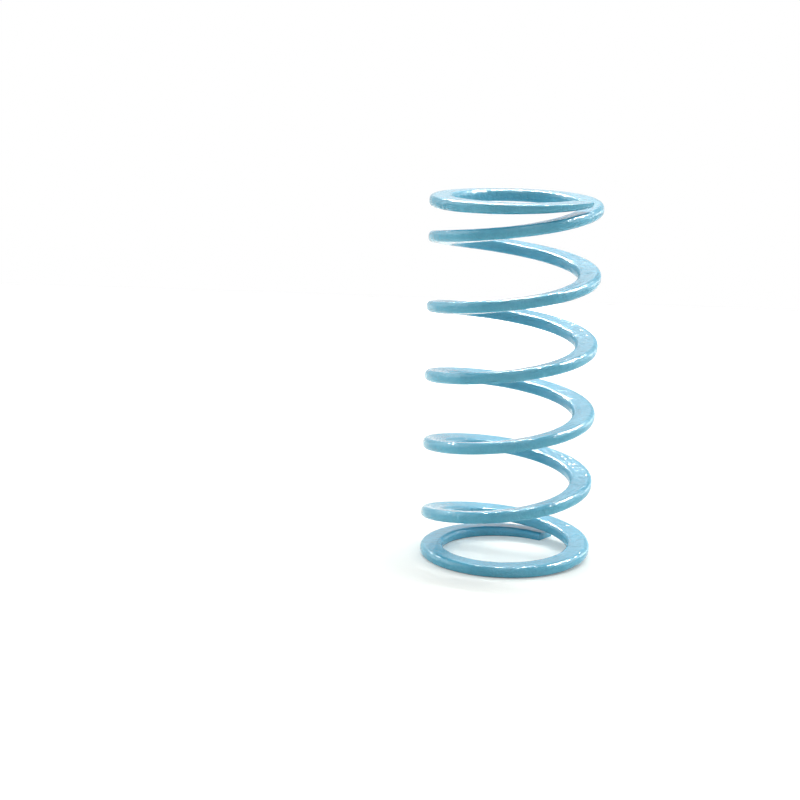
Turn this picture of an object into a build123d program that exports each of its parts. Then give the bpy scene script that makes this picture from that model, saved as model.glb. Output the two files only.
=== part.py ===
from build123d import *

import os
from math import cos, radians, sin

# Die spring: one length of painted flat wire, coiled right-handed, with closed and ground ends.
#
# The wire is rectangular with rounded corners and stands with its wide side along the radius.
# Its ends are closed: the pitch dies away there, and the tips are pressed down against the
# neighbouring turn. Both end faces are then ground flat and square to the axis, which thins
# the wire towards each tip. Between the ends the pitch is constant.
#
# Frame: the origin is the centre of the bottom ground face and +Z runs along the spring.
# Units are millimetres, and lengths along the wire are counted in turns.

# Spring
outer_diameter = 30.0
free_length = 64.0
total_turns = 6.764
bottom_tip_angle = 55.0  # degrees from +X

# Wire, before grinding
wire_width = 4.0  # along the radius
wire_thickness = 2.1  # along the axis
bore_side_swell = 0.1  # coiling makes the wire this much thicker at the bore than outside
dish = 0.6  # the active turns' outer edge sits this much higher than their inner edge
corner_ease = 0.4  # flat, this much off each side, that stands for the wire's rounded corners
side_allowance = 0.02  # each side is lofted this much proud, then cut back to a true cylinder

# Closed ends. ring_height is how far the wire's centre lies from the ground face around the
# end ring, tip_drop is how much nearer the tip is, and it is made up over drop_turns. From
# lift_start to lift_end the pitch grows from closed_pitch to that of the active turns. From
# there to spread_end the wire is spread a little further open, by spread in all.
bottom_end = {
    "ring_height": 0.80,
    "tip_drop": 0.55,
    "drop_turns": 0.25,
    "closed_pitch": 0.0,
    "lift_start": 0.50,
    "lift_end": 1.20,
    "spread": 0.70,
    "spread_end": 1.50,
}
top_end = {
    "ring_height": 1.00,
    "tip_drop": 1.00,
    "drop_turns": 0.50,
    "closed_pitch": 0.5,
    "lift_start": 0.75,
    "lift_end": 1.05,
    "spread": 0.0,
    "spread_end": 1.50,
}
dish_start = 0.6  # turns from either tip where the section begins to dish
dish_full = 1.4

stretches = 14  # lengths of wire, each about half a turn, lofted one after the other
steps_per_stretch = 8

outer_radius = outer_diameter / 2
bore_radius = outer_radius - wire_width
mid_radius = (outer_radius + bore_radius) / 2


def lift_middle(end):
    """Turns from the tip at which the active pitch, drawn back, meets the closed one."""
    return (end["lift_start"] + end["lift_end"]) / 2


def lift_height(end):
    """Distance from the ground face at which the active pitch, drawn back, gets there."""
    return end["ring_height"] + end["closed_pitch"] * lift_middle(end) + end["spread"]


active_turns = total_turns - lift_middle(bottom_end) - lift_middle(top_end)
active_pitch = (free_length - lift_height(bottom_end) - lift_height(top_end)) / active_turns


def smooth_step(share):
    """Eases from nought to one, and stays there beyond either end."""
    share = min(max(share, 0), 1)
    return share * share * (3 - 2 * share)


def height_from_end(turns, end):
    """Distance of the wire's centre from a ground face, this many turns from that end's tip."""
    height = end["ring_height"] + end["closed_pitch"] * turns
    if turns < end["drop_turns"]:
        height -= end["tip_drop"] * (1 - turns / end["drop_turns"]) ** 2
    extra_pitch = active_pitch - end["closed_pitch"]
    if turns > end["lift_end"]:
        height += extra_pitch * (turns - lift_middle(end))
    elif turns > end["lift_start"]:
        lift_length = end["lift_end"] - end["lift_start"]
        height += extra_pitch * (turns - end["lift_start"]) ** 2 / (2 * lift_length)
    spread_length = end["spread_end"] - end["lift_end"]
    return height + end["spread"] * smooth_step((turns - end["lift_end"]) / spread_length)


def wire_height(turns):
    """Height of the wire's centre above the bottom face, from the bottom tip upwards."""
    if turns < total_turns / 2:
        return height_from_end(turns, bottom_end)
    return free_length - height_from_end(total_turns - turns, top_end)


def dish_at(turns):
    """Height of the section's outer edge over its inner edge: none at the ends."""
    from_tip = min(turns, total_turns - turns)
    return dish * smooth_step((from_tip - dish_start) / (dish_full - dish_start))


def radial_plane(turns):
    """Plane through the spring's axis at the wire's centre, x outwards and y upwards."""
    angle = radians(bottom_tip_angle + 360 * turns)
    outwards = (cos(angle), sin(angle), 0)
    centre = (mid_radius * cos(angle), mid_radius * sin(angle), wire_height(turns))
    return Plane(origin=centre, x_dir=outwards, z_dir=(sin(angle), -cos(angle), 0))


def section_corners(turns):
    """Corners of the flat wire, whose inner and outer sides stay parallel to the axis."""
    half_width = wire_width / 2 + side_allowance
    half_inner = (wire_thickness + bore_side_swell / 2) / 2
    half_outer = (wire_thickness - bore_side_swell / 2) / 2
    inner_y = -dish_at(turns) / 2
    outer_y = dish_at(turns) / 2
    return [
        (-half_width, inner_y - half_inner),
        (half_width, outer_y - half_outer),
        (half_width, outer_y + half_outer),
        (-half_width, inner_y + half_inner),
    ]


# The wire is lofted a stretch at a time through its own cross-section, stood upright all
# along the helix. Each stretch starts on the section where the last one ended.
turns_per_step = total_turns / (stretches * steps_per_stretch)

with BuildPart() as spring:
    for stretch in range(stretches):
        first_step = stretch * steps_per_stretch
        for step in range(first_step, first_step + steps_per_stretch + 1):
            turns_along = step * turns_per_step
            with BuildSketch(radial_plane(turns_along)) as section:
                with BuildLine():
                    Polyline(*section_corners(turns_along), close=True)
                make_face()
                chamfer(section.vertices(), corner_ease)
        loft(clean=False)
    # Coiled flat wire has its inner and outer sides on two cylinders, and its ends are ground
    # flat and square a free length apart. So only what lies inside that tube is kept.
    with BuildSketch():
        Circle(outer_radius)
        Circle(bore_radius, mode=Mode.SUBTRACT)
    extrude(amount=free_length, mode=Mode.INTERSECT)

spring.part.label = "spring"

os.makedirs("parts", exist_ok=True)
export_step(spring.part, "parts/spring.step")
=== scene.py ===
from math import cos, radians, sin

import bpy
import numpy as np
from mathutils import Matrix, Vector


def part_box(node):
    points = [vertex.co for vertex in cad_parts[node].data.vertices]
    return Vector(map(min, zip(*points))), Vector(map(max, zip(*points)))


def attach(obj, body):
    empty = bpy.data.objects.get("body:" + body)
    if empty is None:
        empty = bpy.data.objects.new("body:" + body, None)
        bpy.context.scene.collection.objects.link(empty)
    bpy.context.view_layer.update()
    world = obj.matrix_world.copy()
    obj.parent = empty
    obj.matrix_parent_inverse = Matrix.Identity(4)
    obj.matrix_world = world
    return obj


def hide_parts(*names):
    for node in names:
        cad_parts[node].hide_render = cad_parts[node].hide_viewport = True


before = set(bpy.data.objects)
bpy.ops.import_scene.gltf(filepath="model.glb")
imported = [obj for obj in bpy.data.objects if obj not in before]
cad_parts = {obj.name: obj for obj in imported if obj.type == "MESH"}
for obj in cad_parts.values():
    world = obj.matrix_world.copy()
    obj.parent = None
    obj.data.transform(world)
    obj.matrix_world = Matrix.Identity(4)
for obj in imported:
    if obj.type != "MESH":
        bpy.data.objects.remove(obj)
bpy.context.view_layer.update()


# ---- Spring ----
# A compression spring coiled right-handed from one length of flat spring-steel wire, whose wide
# side lies along the radius. Its ends are closed, pressed down and ground flat. The spring is
# painted last, so the paint rounds every edge and lies a little unevenly. Sizes are in metres.
mm = 0.001
spring_low, spring_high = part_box("spring")
outer_radius = (spring_high.x - spring_low.x) / 2
free_length = spring_high.z - spring_low.z
wire_width = 4.0 * mm
wire_thickness = 2.1 * mm
bore_side_swell = 0.1 * mm  # the wire is this much thicker at the bore than outside
bore_radius = outer_radius - wire_width
mid_radius = outer_radius - wire_width / 2

total_turns = 6.764
bottom_tip_angle = 55.0  # degrees from +X
dish = 0.6 * mm  # the active turns' outer edge sits this much higher than their inner edge
dish_start = 0.6  # turns from either tip at which the section begins to dish
dish_full = 1.4  # turns from either tip at which it is fully dished

# How the wire's centre rises from each end's ground face: heights in metres, pitches as the rise
# in one turn, and each start, end and number of turns counted from that end's tip.
bottom_end = {
    "ring_height": 0.80 * mm,
    "tip_drop": 0.55 * mm,
    "drop_turns": 0.25,
    "closed_pitch": 0.0 * mm,
    "lift_start": 0.50,
    "lift_end": 1.20,
    "spread": 0.70 * mm,
    "spread_end": 1.50,
}
top_end = {
    "ring_height": 1.00 * mm,
    "tip_drop": 1.00 * mm,
    "drop_turns": 0.50,
    "closed_pitch": 0.5 * mm,
    "lift_start": 0.75,
    "lift_end": 1.05,
    "spread": 0.0 * mm,
    "spread_end": 1.50,
}

wire_corner = 0.80 * mm  # radius of the wire's rounded corners, over the paint
ground_corner = 0.12 * mm  # what is left of it where grinding has cut deep
tip_edge = 0.10 * mm  # radius round the cut end of the wire
paint_wander = 0.02 * mm  # how far the paint's surface wanders in depth
# The waves it wanders in, as radians per millimetre along the wire, across it and upwards.
paint_waves = [(2.1, 1.3, 0.0), (1.27, -2.2, 1.7), (3.4, 0.0, 2.6), (0.83, 3.1, 0.9)]


def lift_middle(end):
    """The mean of the lift's start and end, where the closed and the active pitch would meet if
    the wire went straight from one to the other."""
    return (end["lift_start"] + end["lift_end"]) / 2


def lift_height(end):
    """The ring's height, plus the closed pitch times the turns up to the lift's middle, plus the
    spread: the height at which the active pitch, drawn back, reaches that middle."""
    return end["ring_height"] + end["closed_pitch"] * lift_middle(end) + end["spread"]


# The active turns share what both ends leave of the free length.
active_turns = total_turns - lift_middle(bottom_end) - lift_middle(top_end)
active_pitch = (free_length - lift_height(bottom_end) - lift_height(top_end)) / active_turns


def smooth_step(share):
    """Three times the share squared less twice its cube, between nought and one."""
    share = np.clip(share, 0, 1)
    return share * share * (3 - 2 * share)


def height_from_end(turns, end):
    """The ring's height plus the closed pitch times the turns, less a square-law drop towards
    the tip, plus the extra pitch times the turns past the lift, eased in by a parabola, plus a
    smooth step of the spread just after the lift."""
    to_ring = np.clip(1 - turns / end["drop_turns"], 0, None)
    lift_length = end["lift_end"] - end["lift_start"]
    lifting = np.clip(turns - end["lift_start"], 0, lift_length)
    past = np.clip(turns - end["lift_end"], 0, None)
    extra_pitch = active_pitch - end["closed_pitch"]
    spread_share = (turns - end["lift_end"]) / (end["spread_end"] - end["lift_end"])
    return (
        end["ring_height"]
        + end["closed_pitch"] * turns
        - end["tip_drop"] * to_ring**2
        + extra_pitch * (lifting**2 / (2 * lift_length) + past)
        + end["spread"] * smooth_step(spread_share)
    )


def wire_height(turns):
    """Height of the wire's centre: up from the bottom face on the lower half of the wire, and
    down from the top face on the upper half."""
    from_bottom = height_from_end(turns, bottom_end)
    from_top = free_length - height_from_end(total_turns - turns, top_end)
    return np.where(turns < total_turns / 2, from_bottom, from_top)


def dish_at(turns):
    """The full dish times a smooth step of the turns from the nearer tip."""
    from_tip = np.minimum(turns, total_turns - turns)
    return dish * smooth_step((from_tip - dish_start) / (dish_full - dish_start))


def wire_corners(turns, inset):
    """Radius and height of the section's four corners before rounding, and the radius of the arc
    that rounds each, one row for each place along the wire. Half the thickness lies on each side
    of the centre's height, plus half the dish outside and less half of it at the bore. The ground
    faces cut the section off, and the arcs shrink by the depth cut. The inset narrows it all
    round."""
    height = wire_height(turns)
    half_dish = dish_at(turns) / 2
    half_inner = (wire_thickness + bore_side_swell / 2) / 2
    half_outer = (wire_thickness - bore_side_swell / 2) / 2
    outer_low, outer_high = height + half_dish - half_outer, height + half_dish + half_outer
    inner_low, inner_high = height - half_dish - half_inner, height - half_dish + half_inner
    low_arc = np.clip(wire_corner + np.minimum(outer_low, 0), ground_corner, None)
    high_arc = np.clip(wire_corner - np.maximum(outer_high - free_length, 0), ground_corner, None)

    # In order: outer low, outer high, bore high, bore low.
    outer_r, bore_r = outer_radius - inset, bore_radius + inset
    corner_r = np.stack([outer_r, outer_r, bore_r, bore_r], 1)
    corner_z = np.stack(
        [
            np.maximum(outer_low, 0) + inset,
            np.minimum(outer_high, free_length) - inset,
            np.minimum(inner_high, free_length) - inset,
            np.maximum(inner_low, 0) + inset,
        ],
        1,
    )
    arc = np.stack([low_arc, high_arc, high_arc, low_arc], 1) - inset[:, None]
    return corner_r, corner_z, arc


def round_section(corner_r, corner_z, arc):
    """Radius, height and outward angle of each point round the wire's section. A corner's arc
    touches both its sides, so its centre is set in from the corner along each side's outward
    angle by the arc's radius over one plus the cosine of the angle between the sides. Its points
    are evenly spread, and straight sides join one arc to the next."""
    # Outward angle of each side, from the outer wall round by the top, the bore and the bottom.
    side_r = np.roll(corner_r, -1, 1) - corner_r
    side_z = np.roll(corner_z, -1, 1) - corner_z
    side_angle = np.unwrap(np.arctan2(-side_r, side_z), axis=1)
    before_angle = np.roll(side_angle, 1, 1)
    before_angle[:, 0] -= 2 * np.pi

    setback = arc / (1 + np.cos(side_angle - before_angle))
    centre_r = corner_r - setback * (np.cos(before_angle) + np.cos(side_angle))
    centre_z = corner_z - setback * (np.sin(before_angle) + np.sin(side_angle))

    # Shares of an arc, of a wall (narrow) and of the top or bottom (wide) at which points lie.
    arc_shares = np.linspace(0, 1, 6)
    wall_shares = np.array([0.2, 0.5, 0.8])
    wide_shares = np.array([0.06, 0.25, 0.5, 0.75, 0.94])
    r, z, angle = [], [], []
    for corner, side_shares in enumerate([wall_shares, wide_shares] * 2):
        after = (corner + 1) % 4
        turn = side_angle[:, corner] - before_angle[:, corner]
        arc_angle = before_angle[:, corner, None] + arc_shares * turn[:, None]
        arc_r = centre_r[:, corner, None] + arc[:, corner, None] * np.cos(arc_angle)
        arc_z = centre_z[:, corner, None] + arc[:, corner, None] * np.sin(arc_angle)
        next_r = centre_r[:, after] + arc[:, after] * np.cos(side_angle[:, corner])
        next_z = centre_z[:, after] + arc[:, after] * np.sin(side_angle[:, corner])
        flat_r = arc_r[:, -1:] + (next_r - arc_r[:, -1])[:, None] * side_shares
        flat_z = arc_z[:, -1:] + (next_z - arc_z[:, -1])[:, None] * side_shares
        flat_angle = np.repeat(side_angle[:, corner, None], len(side_shares), 1)
        r += [arc_r, flat_r]
        z += [arc_z, flat_z]
        angle += [arc_angle, flat_angle]
    return np.hstack(r), np.hstack(z), np.hstack(angle)


def paint_depth(turns, r, z):
    """How far the paint lies under its fullest: the sines of the crossed waves, added up and
    scaled to run from nought to the full wander."""
    along = 2 * np.pi * mid_radius * turns[:, None] / mm
    across, up = r / mm, z / mm
    waves = sum(
        np.sin(along_rate * along + across_rate * across + up_rate * up)
        for along_rate, across_rate, up_rate in paint_waves
    )
    return paint_wander * (0.5 + waves / (2 * len(paint_waves)))


# Places along the wire: closely spaced round each cut end, and even in between. At the cut ends
# the section draws in on a quarter round of radius tip_edge.
quarter = np.linspace(0, np.pi / 2, 5)
edge_turns = tip_edge / (2 * np.pi * mid_radius)
tip_turns = edge_turns * (1 - np.sin(quarter))
tip_inset = tip_edge * (1 - np.cos(quarter))
even_places = 2300
even_from = 1.5 * edge_turns
even_turns = np.linspace(even_from, total_turns - even_from, even_places)
turns = np.concatenate([tip_turns[::-1], even_turns, total_turns - tip_turns])
inset = np.concatenate([tip_inset[::-1], np.zeros(even_places), tip_inset])

r, z, outward = round_section(*wire_corners(turns, inset))
depth = paint_depth(turns, r, z)
r = r - depth * np.cos(outward)
z = z - depth * np.sin(outward)
bearing = radians(bottom_tip_angle) + 2 * np.pi * turns[:, None]
skin = np.stack([r * np.cos(bearing), r * np.sin(bearing), z], 2)

# Four-sided faces join each section to the next, and a fan of triangles closes each cut end.
rows, columns = r.shape
row = np.arange(rows - 1)[:, None] * columns
column = np.arange(columns)
next_column = np.roll(column, -1)
sides = np.stack(
    [row + column, row + columns + column, row + columns + next_column, row + next_column], 2
)
last_row = (rows - 1) * columns
first_middle = np.full(columns, rows * columns)
last_middle = first_middle + 1
first_cap = np.stack([column, next_column, first_middle], 1)
last_cap = np.stack([last_row + next_column, last_row + column, last_middle], 1)

spring_mesh = bpy.data.meshes.new("painted_spring")
spring_mesh.from_pydata(
    np.vstack([skin.reshape(-1, 3), skin[0].mean(0), skin[-1].mean(0)]),
    [],
    sides.reshape(-1, 4).tolist() + first_cap.tolist() + last_cap.tolist(),
)
spring_mesh.shade_smooth()
painted_spring = bpy.data.objects.new("painted_spring", spring_mesh)
bpy.context.scene.collection.objects.link(painted_spring)


def linear(hex_colour):
    """An sRGB hex colour as the linear colour that shaders take: each channel over 12.92 where
    it is dark, and otherwise 0.055 more, over 1.055, to the power of 2.4."""
    srgb = np.array([int(hex_colour[i : i + 2], 16) / 255 for i in (1, 3, 5)])
    return (*np.where(srgb <= 0.04045, srgb / 12.92, ((srgb + 0.055) / 1.055) ** 2.4), 1.0)


def add_node(tree, kind, settings=(), **inputs):
    """Adds a node, sets its properties, and gives each named input a value or a link. An input
    is named with underscores for spaces, or by its number after an underscore."""
    node = tree.nodes.new(kind)
    for name, value in dict(settings).items():
        setattr(node, name, value)
    for name, value in inputs.items():
        key = int(name[1:]) if name[1:].isdigit() else name.replace("_", " ")
        socket = node.inputs[key]
        if isinstance(value, bpy.types.NodeSocket):
            tree.links.new(value, socket)
        else:
            socket.default_value = value
    return node


# Stoved enamel, sprayed on steel: glossy, in a teal that varies faintly in patches, with the fine
# dimpling called orange peel, which breaks up what it mirrors. The dimples are drawn deeper than
# real ones, so that they show.
deep_teal, pale_teal = "#4CA2BE", "#5BAEC9"
patch_size = 6 * mm
dimple_size = 0.8 * mm
dimple_depth = 0.19 * mm
enamel = bpy.data.materials.new("glossy_teal_enamel")
enamel.use_nodes = True
tree = enamel.node_tree
tree.nodes.clear()
place = add_node(tree, "ShaderNodeTexCoord").outputs["Object"]
patches = add_node(tree, "ShaderNodeTexNoise", Vector=place, Scale=1 / patch_size, Detail=3.0)
shade = add_node(tree, "ShaderNodeValToRGB", Fac=patches.outputs["Fac"])
shade.color_ramp.elements[0].position = 0.35
shade.color_ramp.elements[0].color = linear(deep_teal)
shade.color_ramp.elements[1].position = 0.65
shade.color_ramp.elements[1].color = linear(pale_teal)
dimples = add_node(tree, "ShaderNodeTexNoise", Vector=place, Scale=1 / dimple_size, Detail=2.0)
peel = add_node(
    tree, "ShaderNodeBump", Height=dimples.outputs["Fac"], Distance=dimple_depth, Strength=1.0
)
paint = add_node(
    tree,
    "ShaderNodeBsdfPrincipled",
    Base_Color=shade.outputs["Color"],
    Roughness=0.12,
    IOR=1.5,
    Normal=peel.outputs["Normal"],
)
add_node(tree, "ShaderNodeOutputMaterial", Surface=paint.outputs["BSDF"])
spring_mesh.materials.append(enamel)
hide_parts("spring")
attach(painted_spring, "root")


# ---- Floor ----
# A plain white studio floor. It keeps the spring's soft shadow, and fades to pure white
# further out, so that its edge doesn't show.
floor_reach = 0.28
fade_start, fade_end = 0.12, 0.26  # distances from the middle between which it fades
near_glow = 0.17  # strength that the camera sees near the spring, where 1 is white
mirrored_glow = 0.20  # strength that the enamel mirrors
floor_mesh = bpy.data.meshes.new("studio_floor")
floor_mesh.from_pydata(
    [
        (-floor_reach, -floor_reach, 0),
        (floor_reach, -floor_reach, 0),
        (floor_reach, floor_reach, 0),
        (-floor_reach, floor_reach, 0),
    ],
    [],
    [(0, 1, 2, 3)],
)
studio_floor = bpy.data.objects.new("studio_floor", floor_mesh)
bpy.context.scene.collection.objects.link(studio_floor)

# Matt white card: it scatters light evenly and mirrors nothing. Its glow is for the camera and
# for what the spring mirrors, and puts no light on the spring.
card = bpy.data.materials.new("matt_white_card")
card.use_nodes = True
tree = card.node_tree
tree.nodes.clear()
ray = add_node(tree, "ShaderNodeLightPath")
where = add_node(tree, "ShaderNodeTexCoord").outputs["Object"]
far_out = add_node(tree, "ShaderNodeVectorMath", {"operation": "LENGTH"}, _0=where)
fade = add_node(
    tree,
    "ShaderNodeMapRange",
    Value=far_out.outputs["Value"],
    From_Min=fade_start,
    From_Max=fade_end,
    To_Min=near_glow,
    To_Max=1.0,
)
seen = add_node(
    tree,
    "ShaderNodeMath",
    {"operation": "MULTIPLY"},
    _0=ray.outputs["Is Camera Ray"],
    _1=fade.outputs["Result"],
)
mirrored = add_node(
    tree,
    "ShaderNodeMath",
    {"operation": "MULTIPLY"},
    _0=ray.outputs["Is Glossy Ray"],
    _1=mirrored_glow,
)
glow_level = add_node(
    tree,
    "ShaderNodeMath",
    {"operation": "MAXIMUM"},
    _0=seen.outputs["Value"],
    _1=mirrored.outputs["Value"],
)
matt = add_node(tree, "ShaderNodeBsdfDiffuse", Color=linear("#E7E8E3"))
glow = add_node(
    tree, "ShaderNodeEmission", Color=linear("#FFFFFF"), Strength=glow_level.outputs["Value"]
)
both = add_node(tree, "ShaderNodeAddShader", _0=matt.outputs["BSDF"], _1=glow.outputs["Emission"])
add_node(tree, "ShaderNodeOutputMaterial", Surface=both.outputs["Shader"])
floor_mesh.materials.append(card)


# ---- Light ----
# Two long strip lamps behind and above the spring: one lights its upper sides, and the other
# only shows in the gloss, as broken bright lines along the rounded edges. Soft boxes at the back,
# over it, in front and at both sides fill the rest, in a white room.
def soft_box(name, spot, width, height, watts):
    """An area lamp that stands at the spot and faces the middle of the spring."""
    lamp = bpy.data.lights.new(name, "AREA")
    lamp.shape = "RECTANGLE"
    lamp.size = width
    lamp.size_y = height
    lamp.energy = watts
    box = bpy.data.objects.new(name, lamp)
    aim = Vector((0, 0, free_length / 2)) - Vector(spot)
    turn = aim.to_track_quat("-Z", "Y").to_matrix().to_4x4()
    box.matrix_world = Matrix.Translation(spot) @ turn
    bpy.context.scene.collection.objects.link(box)
    return box


soft_box("strip_box", (0.12, 0.42, 0.60), width=1.20, height=0.09, watts=5.3)
edge_box = soft_box("edge_box", (0.12, 0.30, 0.62), width=1.20, height=0.05, watts=42.0)
edge_box.visible_diffuse = False
soft_box("back_box", (-0.07, 0.65, 0.38), width=0.30, height=0.30, watts=0.3)
soft_box("low_box", (0.60, 0.54, 0.06), width=0.40, height=0.12, watts=0.8)
soft_box("top_box", (0, -0.15, 0.80), width=0.30, height=0.30, watts=0.8)
soft_box("front_box", (0, -0.50, 0.50), width=0.30, height=0.30, watts=0.5)
soft_box("left_box", (-0.80, 0.10, 0.42), width=1.00, height=0.80, watts=5.0)
soft_box("right_box", (0.80, 0.20, 0.42), width=1.00, height=0.80, watts=5.6)

# The room is white to the camera and in the gloss, and gives the spring a low even light.
even_light = 0.19
room = bpy.data.worlds.new("white_room")
room.use_nodes = True
tree = room.node_tree
tree.nodes.clear()
ray = add_node(tree, "ShaderNodeLightPath")
white = add_node(
    tree,
    "ShaderNodeMath",
    {"operation": "MAXIMUM"},
    _0=ray.outputs["Is Camera Ray"],
    _1=ray.outputs["Is Glossy Ray"],
)
level = add_node(
    tree, "ShaderNodeMapRange", Value=white.outputs["Value"], To_Min=even_light, To_Max=1.0
)
sky = add_node(
    tree, "ShaderNodeBackground", Color=linear("#FFFFFF"), Strength=level.outputs["Result"]
)
add_node(tree, "ShaderNodeOutputWorld", Surface=sky.outputs["Background"])
bpy.context.scene.world = room


# ---- Camera ----
# It stands in front of the spring and a little above it, and looks slightly down. Its yaw counts
# to the right, its pitch upwards and its roll anticlockwise, all in radians.
camera_spot = (0, -0.33106, 0.09908)
yaw, pitch, roll = -0.05805, -0.21306, 0.02413
camera_data = bpy.data.cameras.new("camera")
camera_data.sensor_width = 36.0
camera_data.lens = 86.74
camera = bpy.data.objects.new("camera", camera_data)
forward = Vector((sin(yaw) * cos(pitch), cos(yaw) * cos(pitch), sin(pitch)))
level_right = Vector((cos(yaw), -sin(yaw), 0))
level_up = level_right.cross(forward)
right = cos(roll) * level_right + sin(roll) * level_up
up = -sin(roll) * level_right + cos(roll) * level_up
camera_turn = Matrix((right, up, -forward)).transposed().to_4x4()
camera.matrix_world = Matrix.Translation(camera_spot) @ camera_turn
bpy.context.scene.collection.objects.link(camera)
bpy.context.scene.camera = camera
bpy.context.scene.view_settings.view_transform = "Standard"
